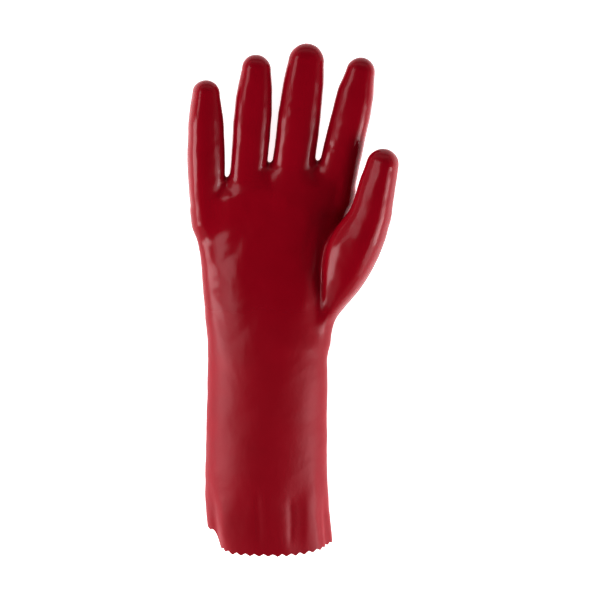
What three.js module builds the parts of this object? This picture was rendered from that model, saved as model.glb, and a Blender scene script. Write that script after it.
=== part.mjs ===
// A long work glove of PVC on a cotton knit, for the right hand, lying on its back with the palm up.
// It is one dipped piece: a hollow shell with a cuff, a palm, four finger stalls and a thumb stall,
// open only at the pinked mouth of the cuff.
//
// Millimetres. +X points to the thumb's side, +Y to the fingertips and +Z up, out of the palm.
// While it is shaped, Y = 0 is the mouth and X = 0 the middle of the cuff. At the end the part is
// moved so that its origin is the middle of its bounding box, on the surface that it lies on.
//
// The skin is a quilt of four-sided faces laid over one smooth form: a tube for the cuff and palm
// and a stall for each digit, blended where they meet. The hollow is the same skin set in by the wall.

import * as THREE from "three";

// Thickness of the coating and its knit together, all over the glove.
const WALL = 1.5;

// Lengths along the glove: mouth to wrist, and wrist to the crotch between ring and middle finger.
const CUFF_LENGTH = 136;
const PALM_LENGTH = 125.2;

// Outer width and depth of the tube at its three stations.
const MOUTH = { width: 85, depth: 66 };
const WRIST = { width: 83.2, depth: 56 };
const KNUCKLES = { width: 111, depth: 29 };

// The crotches rise from the little finger to the index finger, on an arch.
const CROTCH_SLANT = 12.1;
const CROTCH_ARCH = 12;
// How far a finger's stall starts below the crotch line, inside the palm.
const FINGER_ROOT_INSET = 18.5;
// Length over which the top of the palm rounds off between the fingers.
const WEB_ROUNDING = 15;

// Each digit: its length from the crotch line (the thumb's from near the wrist) to its tip, and its
// width and depth where it is widest.
const LITTLE = { length: 78.5, width: 24.8, depth: 24 };
const RING = { length: 83.8, width: 25.9, depth: 25.5 };
const MIDDLE = { length: 85.4, width: 29.2, depth: 27 };
const INDEX = { length: 78.3, width: 25.9, depth: 25.5 };
const THUMB = { length: 140, width: 36.2, depth: 31 };

// Height of a digit's middle above the surface at its root and at its tip: the hand is half relaxed.
const FINGER_ROOT_HEIGHT = 20;
const FINGERTIP_HEIGHT = 30;
const THUMB_ROOT_HEIGHT = 27;
const THUMB_TIP_HEIGHT = 44;

// Roundness of the cross-sections: 2 is an ellipse, and more is boxier.
const CUFF_SQUARENESS = 2.1;
const PALM_SQUARENESS = 2.4;
const DIGIT_SQUARENESS = 2.7;
// Length of a digit's domed tip, as a share of half its width there.
const TIP_DOME = 1.25;

// How far the forms run into each other where they meet: fingers and palm, finger and finger with a
// web at the crotch, and thumb and palm, which run together at the thumb's foot and meet in a fold
// in front and at its crotch.
const ROOT_BLEND = 9;
const CROTCH_BLEND = 4;
const WEB = { blend: 8, from: -2, to: 10 };
const THUMB_BLEND = { atFoot: 13, atCrotch: 6, inFront: 6 };

// The pinked mouth: one tooth for each pitch, and how much shorter than in front the cuff is cut at
// its two sides and at the corner behind the little finger's side.
const TOOTH_PITCH = 6.3;
const TOOTH_HEIGHT = 1.6;
const MOUTH_SKEW = { littleSide: 2.6, thumbSide: 1.6, littleCorner: 10 };

// How much the cuff and the back of the hand are flattened where they lie.
const REST_FLATTENING = 1.3;

// Faces of the quilt: across a finger or the thumb, through the hand, and their length.
const FACES_ACROSS = 4;
const FACES_THROUGH = 4;
const FACE_LENGTH = 7.4;
// Rounds that spread the faces evenly, and how many rows of each stall take part.
const SMOOTHING_ROUNDS = 50;
const FREE_STALL_ROWS = 3;

// The tube from the mouth (0) over the wrist (1) to the crotch line (2). toMouth and toKnuckles
// blend the wrist's width into theirs, and thinning takes its depth to the knuckles'. shift is
// sideways and bulge is added width, as shares of the mouth's width; lift raises the back off the
// surface, as a share of the mouth's depth.
const TUBE_SECTIONS = [
  { along: 0.0, toMouth: 1.0, toKnuckles: 0.0, thinning: 0.0, bulge: 0.022, shift: 0.04, lift: 0.0 },
  { along: 0.18, toMouth: 1.0, toKnuckles: 0.0, thinning: 0.0, bulge: 0.022, shift: 0.008, lift: 0.0 },
  { along: 0.37, toMouth: 0.9, toKnuckles: 0.0, thinning: 0.0, bulge: 0.01, shift: -0.001, lift: 0.0 },
  { along: 0.66, toMouth: 0.5, toKnuckles: 0.0, thinning: 0.0, bulge: 0.0, shift: 0.005, lift: 0.0 },
  { along: 1.0, toMouth: 0.0, toKnuckles: 0.0, thinning: 0.0, bulge: 0.0, shift: 0.012, lift: 0.01 },
  { along: 1.28, toMouth: 0.0, toKnuckles: 0.05, thinning: 0.28, bulge: 0.0, shift: -0.01, lift: 0.0 },
  { along: 1.5, toMouth: 0.0, toKnuckles: 0.22, thinning: 0.5, bulge: 0.0, shift: -0.004, lift: 0.0 },
  { along: 1.68, toMouth: 0.0, toKnuckles: 0.67, thinning: 0.66, bulge: 0.0, shift: 0.038, lift: 0.0 },
  { along: 1.82, toMouth: 0.0, toKnuckles: 0.81, thinning: 0.8, bulge: 0.0, shift: 0.043, lift: 0.03 },
  { along: 2.0, toMouth: 0.0, toKnuckles: 0.88, thinning: 1.0, bulge: 0.0, shift: 0.066, lift: 0.1 },
];

// Fingers: across is where the root sits, as a share of half the knuckles' width. lean is the angle
// of its line towards the thumb and roll how far its front is turned that way, in degrees. root,
// joint, pad and end are the finger's width at those places, as shares of its widest.
const FINGERS = [
  { size: LITTLE, across: -0.745, lean: 0.7, roll: 10, root: 0.64, joint: 0.98, pad: 0.92, end: 0.76 },
  { size: RING, across: -0.248, lean: 4.8, roll: 3, root: 0.98, joint: 0.97, pad: 0.94, end: 0.79 },
  { size: MIDDLE, across: 0.297, lean: 7.1, roll: 0, root: 1.01, joint: 0.99, pad: 0.94, end: 0.84 },
  { size: INDEX, across: 0.832, lean: 12.4, roll: -8, root: 1.08, joint: 1.03, pad: 0.95, end: 0.76 },
];

// A finger from its root (0) to its tip (1): its width by the finger's own columns, and its depth
// as a share of its deepest.
const fingerSections = ({ root, joint, pad, end }) => [
  { along: 0.0, width: root, depth: 0.9, sideways: 0 },
  { along: 0.28, width: joint, depth: 1.0, sideways: 0 },
  { along: 0.52, width: 1.0, depth: 0.98, sideways: 0 },
  { along: 0.74, width: pad, depth: 0.9, sideways: 0 },
  { along: 0.88, width: end, depth: 0.8, sideways: 0 },
  { along: 1.0, width: 0.8 * end, depth: 0.6, sideways: 0 },
];

// The thumb from near the wrist (0) to its tip (1). It starts narrow, swells into the ball of the
// thumb and narrows again. sideways bends it, as a share of its width.
const THUMB_SECTIONS = [
  { along: 0.0, width: 0.1, depth: 0.3, sideways: -0.03 },
  { along: 0.1, width: 0.12, depth: 0.55, sideways: -0.03 },
  { along: 0.18, width: 0.36, depth: 0.75, sideways: -0.02 },
  { along: 0.33, width: 0.76, depth: 0.95, sideways: -0.005 },
  { along: 0.46, width: 0.95, depth: 1.0, sideways: 0.005 },
  { along: 0.575, width: 0.91, depth: 0.97, sideways: 0.055 },
  { along: 0.66, width: 0.77, depth: 0.9, sideways: 0.115 },
  { along: 0.735, width: 0.71, depth: 0.83, sideways: 0.105 },
  { along: 0.8, width: 0.67, depth: 0.78, sideways: 0.075 },
  { along: 0.9, width: 0.59, depth: 0.7, sideways: 0.045 },
  { along: 1.0, width: 0.5, depth: 0.62, sideways: 0.02 },
];
// Where the thumb's line starts and how it leans and rolls: share of half the wrist's width, share of
// the palm's length, and degrees.
const THUMB_PLACE = { across: 0.971, along: 0.072, lean: 17.1, roll: -22 };
// Where the thumb parts from the palm, as a share of the palm's length.
const THUMB_CROTCH_ALONG = 0.6;

// Folds and flutes of the cuff. angle goes round from the thumb's side over the palm, in degrees,
// and spread is its half width; depth is inward, as a share of the mouth's depth; from and to are
// shares of the cuff's length, and the fold is deepest halfway unless it runs out at the mouth.
const CUFF_FOLDS = [
  { angle: 152, spread: 13, depth: 0.045, from: -0.35, to: 0.4 },
  { angle: 128, spread: 11, depth: -0.014, from: -0.3, to: 0.55 },
  { angle: 63, spread: 10, depth: 0.022, from: -0.25, to: 0.5 },
  { angle: 42, spread: 9, depth: -0.018, from: -0.2, to: 0.6 },
  { angle: 22, spread: 8, depth: 0.03, from: -0.3, to: 0.35 },
  { angle: 96, spread: 12, depth: 0.01, from: -0.3, to: 0.4 },
  { angle: 222, spread: 14, depth: 0.02, from: -0.3, to: 0.45 },
  { angle: 330, spread: 14, depth: 0.02, from: -0.3, to: 0.4 },
];

const PVC = { color: 0x8c0a1e, roughness: 0.32, metalness: 0 };

const mix = (a, b, t) => a + (b - a) * t;
const clamp = (value, low, high) => Math.min(Math.max(value, low), high);
const radians = (degrees) => (degrees * Math.PI) / 180;

// A column of a table at any place along it, on a smooth curve through its rows.
function smooth(rows, column, along) {
  const last = rows.length - 1;
  let i = 0;
  while (i < last - 1 && rows[i + 1].along < along) i += 1;
  const slope = (k) => {
    const before = rows[Math.max(k - 1, 0)];
    const after = rows[Math.min(k + 1, last)];
    return (after[column] - before[column]) / (after.along - before.along);
  };
  const span = rows[i + 1].along - rows[i].along;
  const t = clamp((along - rows[i].along) / span, 0, 1);
  const keep = 1 - t;
  return (
    rows[i][column] * keep * keep * (1 + 2 * t) +
    rows[i + 1][column] * t * t * (3 - 2 * t) +
    slope(i) * span * t * keep * keep -
    slope(i + 1) * span * t * t * keep
  );
}

// The smaller of two distances, rounded over where they are within a blend of each other.
function blended(a, b, blend) {
  const t = clamp(0.5 + (0.5 * (b - a)) / blend, 0, 1);
  return mix(b, a, t) - blend * t * (1 - t);
}

// Distance from a rounded outline, taken along the ray from its middle. past is how far the point
// is past the straight part of the form, in a dome of the given length.
function outlineDistance(u, v, past, section, dome) {
  const n = section.squareness;
  const flat = (Math.abs(u) / section.halfWidth) ** n + (Math.abs(v) / section.halfDepth) ** n;
  const reach = Math.hypot(flat ** (1 / n), past / dome);
  return Math.hypot(u, v, past) * (1 - 1 / Math.max(reach, 1e-6));
}

// The tube's table with its places in millimetres from the mouth.
const TUBE = TUBE_SECTIONS.map((row) => ({
  ...row,
  along: Math.min(row.along, 1) * CUFF_LENGTH + Math.max(row.along - 1, 0) * PALM_LENGTH,
}));

// The tube of the cuff and palm at a length from the mouth: its middle, half sizes and squareness.
function tubeSection(length) {
  const at = (column) => smooth(TUBE, column, length);
  const width =
    WRIST.width +
    at("toMouth") * (MOUTH.width - WRIST.width) +
    at("toKnuckles") * (KNUCKLES.width - WRIST.width) +
    at("bulge") * MOUTH.width;
  const depth =
    WRIST.depth +
    at("toMouth") * (MOUTH.depth - WRIST.depth) +
    at("thinning") * (KNUCKLES.depth - WRIST.depth);
  const intoPalm = clamp((2 * (length - CUFF_LENGTH)) / PALM_LENGTH, 0, 1);
  return {
    x: at("shift") * MOUTH.width,
    z: at("lift") * MOUTH.depth - REST_FLATTENING + depth / 2,
    halfWidth: width / 2,
    halfDepth: depth / 2,
    squareness: mix(CUFF_SQUARENESS, PALM_SQUARENESS, intoPalm),
  };
}

// Height of the crotch line over its middle, for a place across the palm.
function crotchRise(x) {
  const across = clamp(x / (KNUCKLES.width / 2), -1.2, 1.2);
  return CROTCH_SLANT * across - CROTCH_ARCH * across * across;
}

const CROTCH_HEIGHT = CUFF_LENGTH + PALM_LENGTH;
const TUBE_DOME_START = CROTCH_HEIGHT - WEB_ROUNDING;

// How much of the crotch line's rise a place along the palm follows.
const riseShare = (y) => clamp((y - CUFF_LENGTH) / PALM_LENGTH, 0, 1) ** 2;

// How far the cuff's folds push its wall inwards at a point.
function foldDepth(point, section) {
  const along = point.y / CUFF_LENGTH;
  const angle = Math.atan2(
    (point.z - section.z) / section.halfDepth,
    (point.x - section.x) / section.halfWidth,
  );
  return CUFF_FOLDS.reduce((sum, fold) => {
    const turn = Math.abs(((angle * 180) / Math.PI - fold.angle + 540) % 360 - 180) / fold.spread;
    const run = Math.abs((2 * (along - fold.from)) / (fold.to - fold.from) - 1);
    if (turn > 2.5 || run > 1) return sum;
    return sum + fold.depth * MOUTH.depth * Math.exp(-turn * turn) * (1 - run * run) ** 2;
  }, 0);
}

function tubeDistance(point) {
  const length = point.y - crotchRise(point.x) * riseShare(point.y);
  const section = tubeSection(clamp(length, 0, TUBE_DOME_START));
  const past = Math.max(length - TUBE_DOME_START, 0);
  const u = point.x - section.x;
  const v = point.z - section.z;
  return outlineDistance(u, v, past, section, WEB_ROUNDING) + foldDepth(point, section);
}

// A digit: where its line starts, its three directions and its table of sections.
function digit(root, { lean, roll }, rise, size, inset, sections) {
  const length = size.length + inset;
  const turn = radians(lean);
  const level = new THREE.Vector3(Math.cos(turn), -Math.sin(turn), 0);
  const along = new THREE.Vector3(Math.sin(turn), Math.cos(turn), rise / length).normalize();
  const across = level.applyAxisAngle(along, radians(roll));
  const out = new THREE.Vector3().crossVectors(across, along);
  const dome = (TIP_DOME * size.width * sections[sections.length - 1].width) / 2;
  return { root, across, along, out, size, length, dome, sections };
}

function digitSection({ size, length, dome, sections }, at) {
  const share = clamp(at, 0, length - dome) / length;
  return {
    sideways: smooth(sections, "sideways", share) * size.width,
    halfWidth: (smooth(sections, "width", share) * size.width) / 2,
    halfDepth: (smooth(sections, "depth", share) * size.depth) / 2,
    squareness: DIGIT_SQUARENESS,
  };
}

function digitDistance(stall, point) {
  const from = point.clone().sub(stall.root);
  const at = from.dot(stall.along);
  const section = digitSection(stall, at);
  const past = Math.max(at - (stall.length - stall.dome), 0, -at);
  const u = from.dot(stall.across) - section.sideways;
  return outlineDistance(u, from.dot(stall.out), past, section, stall.dome);
}

const FINGER_STALLS = FINGERS.map((finger) => {
  const { size, across } = finger;
  const x = (across * KNUCKLES.width) / 2;
  const y = CROTCH_HEIGHT + crotchRise(x) - FINGER_ROOT_INSET;
  const root = new THREE.Vector3(x, y, FINGER_ROOT_HEIGHT);
  const rise = FINGERTIP_HEIGHT - FINGER_ROOT_HEIGHT;
  return digit(root, finger, rise, size, FINGER_ROOT_INSET, fingerSections(finger));
});

const THUMB_STALL = digit(
  new THREE.Vector3(
    (THUMB_PLACE.across * WRIST.width) / 2,
    CUFF_LENGTH + THUMB_PLACE.along * PALM_LENGTH,
    THUMB_ROOT_HEIGHT,
  ),
  THUMB_PLACE,
  THUMB_TIP_HEIGHT - THUMB_ROOT_HEIGHT,
  THUMB,
  0,
  THUMB_SECTIONS,
);

// Distance of a point from the glove's outer surface, under zero inside it.
function gloveDistance(point) {
  const overCrotch = point.y - CROTCH_HEIGHT - crotchRise(point.x);
  const inWeb = 1 - THREE.MathUtils.smoothstep(overCrotch, WEB.from, WEB.to);
  const fingers = FINGER_STALLS.map((stall) => digitDistance(stall, point)).reduce((a, b) =>
    blended(a, b, CROTCH_BLEND + WEB.blend * inWeb),
  );
  const hand = blended(tubeDistance(point), fingers, ROOT_BLEND);
  const { atFoot, atCrotch, inFront } = THUMB_BLEND;
  const behind = mix(atFoot, atCrotch, THREE.MathUtils.smoothstep(point.y, 175, 212));
  const folded = clamp((point.z - 14) / 24, 0, 1) * THREE.MathUtils.smoothstep(point.y, 158, 188);
  const thumbBlend = mix(behind, inFront, folded);
  return blended(hand, digitDistance(THUMB_STALL, point), thumbBlend);
}

// The way out of the form at a point, and how fast the distance grows that way.
function slopeAt(point) {
  const step = 0.05;
  const difference = (x, y, z) => {
    const move = new THREE.Vector3(x, y, z).multiplyScalar(step);
    return gloveDistance(point.clone().add(move)) - gloveDistance(point.clone().sub(move));
  };
  return new THREE.Vector3(
    difference(1, 0, 0),
    difference(0, 1, 0),
    difference(0, 0, 1),
  ).divideScalar(2 * step);
}

// The quilt is the outside of a pile of blocks: columns across the hand, layers through it and
// rows along it. A column between two digits is empty above their crotch.
const rowsFor = (length) => Math.max(Math.round(length / FACE_LENGTH), 2);
const TRIM = FACE_LENGTH + MOUTH_SKEW.littleSide + MOUTH_SKEW.littleCorner;
const CUFF_ROWS = rowsFor(CUFF_LENGTH - TRIM);
const BALL_ROWS = rowsFor(THUMB_CROTCH_ALONG * PALM_LENGTH);
const WRIST_ROW = CUFF_ROWS;
const THUMB_CROTCH_ROW = WRIST_ROW + BALL_ROWS;
const CROTCH_ROW = WRIST_ROW + rowsFor(PALM_LENGTH);
const PITCH_ACROSS = FACES_ACROSS + 1;
const TUBE_COLUMNS = FINGERS.length * PITCH_ACROSS - 1;

const DIGITS = [
  ...FINGER_STALLS.map((stall, i) => ({
    stall,
    firstColumn: i * PITCH_ACROSS,
    crotchRow: CROTCH_ROW,
    start: FINGER_ROOT_INSET,
    rows: rowsFor(stall.size.length),
  })),
  {
    stall: THUMB_STALL,
    firstColumn: TUBE_COLUMNS + 1,
    crotchRow: THUMB_CROTCH_ROW,
    start: THUMB_CROTCH_ALONG * PALM_LENGTH,
    rows: rowsFor(THUMB.length - THUMB_CROTCH_ALONG * PALM_LENGTH),
  },
];

function isFilled(column, row, layer) {
  if (layer < 0 || layer >= FACES_THROUGH || row < 0 || column < 0) return false;
  if (column < TUBE_COLUMNS && row < CROTCH_ROW) return true;
  const ball = column >= TUBE_COLUMNS && column <= TUBE_COLUMNS + FACES_ACROSS;
  if (ball && row >= WRIST_ROW + 1 && row < THUMB_CROTCH_ROW) return true;
  return DIGITS.some(
    ({ firstColumn, crotchRow, rows }) =>
      column >= firstColumn &&
      column < firstColumn + FACES_ACROSS &&
      row >= crotchRow &&
      row < crotchRow + rows,
  );
}

// A first guess of where a corner of a block goes, inside the form. The quilt is then laid on it.
function firstGuess(column, row, layer) {
  const through = (2 * layer) / FACES_THROUGH - 1;
  const owner = DIGITS.find(
    ({ firstColumn, crotchRow }) =>
      column >= firstColumn &&
      column <= firstColumn + FACES_ACROSS &&
      (row > crotchRow || firstColumn > TUBE_COLUMNS),
  );
  if (!owner) {
    const share = (row - WRIST_ROW) / (CROTCH_ROW - WRIST_ROW);
    const length =
      row < WRIST_ROW ? mix(TRIM, CUFF_LENGTH, row / WRIST_ROW) : CUFF_LENGTH + share * PALM_LENGTH;
    const section = tubeSection(Math.min(length, TUBE_DOME_START));
    const x = section.x + section.halfWidth * 0.9 * ((2 * column) / TUBE_COLUMNS - 1);
    const y = length + crotchRise(x) * riseShare(length);
    return new THREE.Vector3(x, y, section.z + section.halfDepth * 0.8 * through);
  }
  const { stall, firstColumn, crotchRow, start, rows } = owner;
  const at =
    row >= crotchRow
      ? mix(start, stall.length - stall.dome / 2, (row - crotchRow) / rows)
      : mix(stall.dome, start, (row - WRIST_ROW) / (crotchRow - WRIST_ROW));
  const section = digitSection(stall, at);
  const side = (2 * (column - firstColumn)) / FACES_ACROSS - 1;
  return stall.root
    .clone()
    .addScaledVector(stall.along, at)
    .addScaledVector(stall.across, section.sideways + section.halfWidth * 0.7 * side)
    .addScaledVector(stall.out, section.halfDepth * 0.7 * through);
}

// The corners and four-sided faces of the pile's outside, facing out, open at the cuff's end.
function blockQuilt() {
  const corners = [];
  const faces = [];
  const numbers = new Map();
  const corner = (column, row, layer) => {
    const key = `${column} ${row} ${layer}`;
    if (!numbers.has(key)) {
      numbers.set(key, corners.length);
      corners.push({
        point: firstGuess(column, row, layer),
        atMouth: row === 0,
        inStall: DIGITS.some(
          ({ firstColumn, crotchRow }) =>
            column >= firstColumn && column <= firstColumn + FACES_ACROSS && row > crotchRow + FREE_STALL_ROWS,
        ),
      });
    }
    return numbers.get(key);
  };
  const columns = TUBE_COLUMNS + 1 + FACES_ACROSS;
  const topRow = Math.max(...DIGITS.map(({ crotchRow, rows }) => crotchRow + rows));
  const axes = [
    [1, 0, 0],
    [0, 1, 0],
    [0, 0, 1],
  ];
  for (let column = 0; column < columns; column += 1)
    for (let row = 0; row < topRow; row += 1)
      for (let layer = 0; layer < FACES_THROUGH; layer += 1) {
        if (!isFilled(column, row, layer)) continue;
        for (let axis = 0; axis < 3; axis += 1)
          for (const way of [0, 1]) {
            const next = axes[axis].map((step) => step * (2 * way - 1));
            if (isFilled(column + next[0], row + next[1], layer + next[2])) continue;
            if (axis === 1 && way === 0 && row === 0) continue;
            const [a, b] = [axes[(axis + 1) % 3], axes[(axis + 2) % 3]];
            const base = [column, row, layer].map((value, i) => value + axes[axis][i] * way);
            const square = [[0, 0], [1, 0], [1, 1], [0, 1]].map(([i, j]) =>
              corner(...base.map((value, k) => value + a[k] * i + b[k] * j)),
            );
            faces.push(way ? square : square.reverse());
          }
      }
  return { corners, faces };
}

// Moves a corner onto the form; a corner of the mouth stays at its own height.
function layOn(corner) {
  for (let i = 0; i < 4; i += 1) {
    const slope = slopeAt(corner.point);
    if (corner.atMouth) slope.y = 0;
    const distance = gloveDistance(corner.point);
    const stride = clamp(distance / Math.max(slope.lengthSq(), 0.2), -4, 4);
    corner.point.addScaledVector(slope, -stride);
  }
}

// Spreads the corners evenly over the form, a little at a time.
function smoothQuilt({ corners, faces }, rounds) {
  const neighbours = corners.map(() => new Set());
  for (const face of faces)
    face.forEach((a, i) => {
      const b = face[(i + 1) % 4];
      if (corners[a].atMouth && !corners[b].atMouth) neighbours[b].add(a);
      else if (corners[b].atMouth && !corners[a].atMouth) neighbours[a].add(b);
      else {
        neighbours[a].add(b);
        neighbours[b].add(a);
      }
    });
  for (let round = 0; round < rounds; round += 1) {
    const moved = corners.map(({ point, inStall }, i) => {
      if (inStall || point.y < CUFF_LENGTH / 2) return point;
      const middle = new THREE.Vector3();
      for (const other of neighbours[i]) middle.add(corners[other].point);
      return point.clone().lerp(middle.divideScalar(neighbours[i].size), 0.5);
    });
    moved.forEach((point, i) => {
      if (point === corners[i].point) return;
      corners[i].point.copy(point);
      layOn(corners[i]);
    });
  }
}

// The loop of corners round the cuff's cut end, in order of their angle round its middle.
function mouthLoop({ corners }, section) {
  const angle = ({ point }) => Math.atan2(point.z - section.z, point.x - section.x);
  return corners
    .map((corner, i) => ({ i, angle: angle(corner), atMouth: corner.atMouth }))
    .filter(({ atMouth }) => atMouth)
    .sort((a, b) => a.angle - b.angle);
}

// The pinked edge: points on the mouth's outline, tips and valleys in turn, evenly spaced.
function pinkedEdge() {
  const section = tubeSection(0);
  const fine = 1440;
  const points = [];
  for (let i = 0; i < fine; i += 1) {
    const angle = (2 * Math.PI * i) / fine - Math.PI;
    const point = new THREE.Vector3(
      section.x + section.halfWidth * Math.cos(angle),
      0,
      section.z + section.halfDepth * Math.sin(angle),
    );
    const corner = { point, atMouth: true };
    layOn(corner);
    points.push(point);
  }
  const lengths = [0];
  points.forEach((point, i) => {
    lengths.push(lengths[i] + point.distanceTo(points[(i + 1) % fine]));
  });
  const around = lengths[fine];
  const count = 2 * Math.round(around / TOOTH_PITCH);
  const edge = [];
  for (let k = 0, i = 0; k < count; k += 1) {
    while (lengths[i + 1] <= (around * k) / count) i += 1;
    const part = ((around * k) / count - lengths[i]) / (lengths[i + 1] - lengths[i]);
    const point = points[i].clone().lerp(points[(i + 1) % fine], part);
    const angle = Math.atan2(point.z - section.z, point.x - section.x);
    const sideways = (point.x - section.x) / section.halfWidth;
    const upwards = (point.z - section.z) / section.halfDepth;
    // Degrees round the mouth from the little finger's side towards the back.
    const round = (Math.atan2(-upwards, -sideways) * 180) / Math.PI;
    const { smoothstep } = THREE.MathUtils;
    const corner = smoothstep(round, -34, -20) - smoothstep(round, 12, 45);
    const skew =
      MOUTH_SKEW.littleSide * smoothstep(-sideways, 0.55, 0.95) +
      MOUTH_SKEW.thumbSide * smoothstep(sideways, 0.45, 0.85) +
      MOUTH_SKEW.littleCorner * corner;
    point.y = skew + (k % 2 ? 0 : TOOTH_HEIGHT);
    edge.push({ point, angle });
  }
  return edge;
}

// The inside of the wall under a point of the skin.
function insideOf(point, flatMouth) {
  const out = slopeAt(point);
  if (flatMouth) out.y = 0;
  if (point.z <= 0) out.set(0, 0, -1);
  const inside = point.clone().addScaledVector(out.normalize(), -WALL);
  inside.z = Math.max(inside.z, WALL);
  return inside;
}

// The whole shell: the quilt and its inside, and the pinked edge that joins them.
function gloveGeometry() {
  const quilt = blockQuilt();
  quilt.corners.forEach((corner) => layOn(corner));
  smoothQuilt(quilt, SMOOTHING_ROUNDS);
  const section = tubeSection(TRIM);
  const loop = mouthLoop(quilt, section);
  const edge = pinkedEdge();
  const outside = [...quilt.corners.map(({ point }) => point), ...edge.map(({ point }) => point)];
  outside.forEach((point) => {
    point.z = Math.max(point.z, 0);
  });
  const firstOfEdge = quilt.corners.length;
  const inside = outside.map((point, i) => insideOf(point, i >= firstOfEdge));
  const skin = [];
  for (const [a, b, c, d] of quilt.faces) {
    const crossing = outside[a].distanceTo(outside[c]) < outside[b].distanceTo(outside[d]);
    if (crossing) skin.push([a, b, c], [a, c, d]);
    else skin.push([a, b, d], [b, c, d]);
  }
  // The strip between the quilt's end and the pinked edge takes the nearer next corner each time.
  const turn = (list, k) => list[k % list.length].angle + 2 * Math.PI * Math.floor(k / list.length);
  for (let i = 0, j = 0; i < loop.length || j < edge.length; ) {
    const low = firstOfEdge + (j % edge.length);
    const high = loop[i % loop.length].i;
    const advanceEdge = i >= loop.length || (j < edge.length && turn(edge, j + 1) < turn(loop, i + 1));
    if (advanceEdge) {
      skin.push([high, firstOfEdge + ((j + 1) % edge.length), low]);
      j += 1;
    } else {
      skin.push([high, loop[(i + 1) % loop.length].i, low]);
      i += 1;
    }
  }
  const shift = outside.length;
  const triangles = [...skin, ...skin.map(([a, b, c]) => [c + shift, b + shift, a + shift])];
  edge.forEach((_, k) => {
    const a = firstOfEdge + k;
    const b = firstOfEdge + ((k + 1) % edge.length);
    triangles.push([a, b, b + shift], [a, b + shift, a + shift]);
  });
  const geometry = new THREE.BufferGeometry();
  geometry.setFromPoints([...outside, ...inside]);
  geometry.setIndex(triangles.flat());
  geometry.computeBoundingBox();
  const { min, max } = geometry.boundingBox;
  geometry.translate(-(min.x + max.x) / 2, -(min.y + max.y) / 2, -min.z);
  geometry.computeVertexNormals();
  return geometry;
}

const glove = new THREE.Mesh(gloveGeometry(), new THREE.MeshStandardMaterial(PVC));
glove.name = "glove";

const part = new THREE.Group();
part.add(glove);

export default part;
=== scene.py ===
import logging
import math
from dataclasses import dataclass, field
from enum import Enum

import bpy
import numpy as np
from mathutils import Matrix, Vector


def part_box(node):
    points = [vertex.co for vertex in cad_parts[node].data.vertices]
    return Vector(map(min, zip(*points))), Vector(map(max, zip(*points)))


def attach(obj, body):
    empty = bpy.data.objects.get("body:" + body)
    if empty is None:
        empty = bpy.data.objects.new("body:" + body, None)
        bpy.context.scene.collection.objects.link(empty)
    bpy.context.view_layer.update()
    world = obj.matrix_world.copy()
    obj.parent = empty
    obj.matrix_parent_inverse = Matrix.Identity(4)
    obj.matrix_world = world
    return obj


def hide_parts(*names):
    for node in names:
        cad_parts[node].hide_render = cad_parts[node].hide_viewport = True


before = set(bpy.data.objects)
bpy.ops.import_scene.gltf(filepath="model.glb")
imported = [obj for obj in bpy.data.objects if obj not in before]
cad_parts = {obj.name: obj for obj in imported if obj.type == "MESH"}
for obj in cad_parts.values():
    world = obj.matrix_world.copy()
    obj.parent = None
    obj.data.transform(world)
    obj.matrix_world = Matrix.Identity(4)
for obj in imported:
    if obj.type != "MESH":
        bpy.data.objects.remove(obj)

LOG = logging.getLogger("work_glove")

# All shaping is in millimetres: X = 0 is the middle of the cuff, Y = 0 its mouth, Z = 0 the surface
# that the glove lies on. +X is the thumb's side, +Y the fingertips and +Z out of the palm.
MM = 0.001

Array = np.ndarray


def clamp(value: Array, low: float, high: float) -> Array:
    """Value kept between low and high."""
    return np.clip(value, low, high)


def smooth_step(value: Array, low: float, high: float) -> Array:
    """Rises softly from 0 at low to 1 at high."""
    t = clamp((value - low) / (high - low), 0.0, 1.0)
    return t * t * (3.0 - 2.0 * t)


def blended(a: Array, b: Array, blend: Array | float) -> Array:
    """The smaller of two distances, rounded where they are within a blend of each other.

    Args:
        a: Distances to the first form.
        b: Distances to the second form.
        blend: How far the two run into each other, in millimetres.

    Returns:
        Distances to the joined form.
    """
    t = clamp(0.5 + 0.5 * (b - a) / blend, 0.0, 1.0)
    return b + (a - b) * t - blend * t * (1.0 - t)


def outline_distance(u: Array, v: Array, past: Array, half_width: Array, half_depth: Array,
                     squareness: Array | float, dome: float) -> Array:
    """Distance from a rounded outline, along the ray from its middle.

    Args:
        u: Place across the section.
        v: Place through the section.
        past: How far the point is past the straight part, in the dome that ends the form.
        half_width: Half the section's width.
        half_depth: Half the section's depth.
        squareness: 2 for an ellipse, more for a boxier outline.
        dome: Length of the dome.

    Returns:
        Distances, under zero inside the form.
    """
    flat = (np.abs(u) / half_width) ** squareness + (np.abs(v) / half_depth) ** squareness
    reach = np.hypot(flat ** (1.0 / squareness), past / dome)
    return np.sqrt(u * u + v * v + past * past) * (1.0 - 1.0 / np.maximum(reach, 1e-6))


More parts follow.
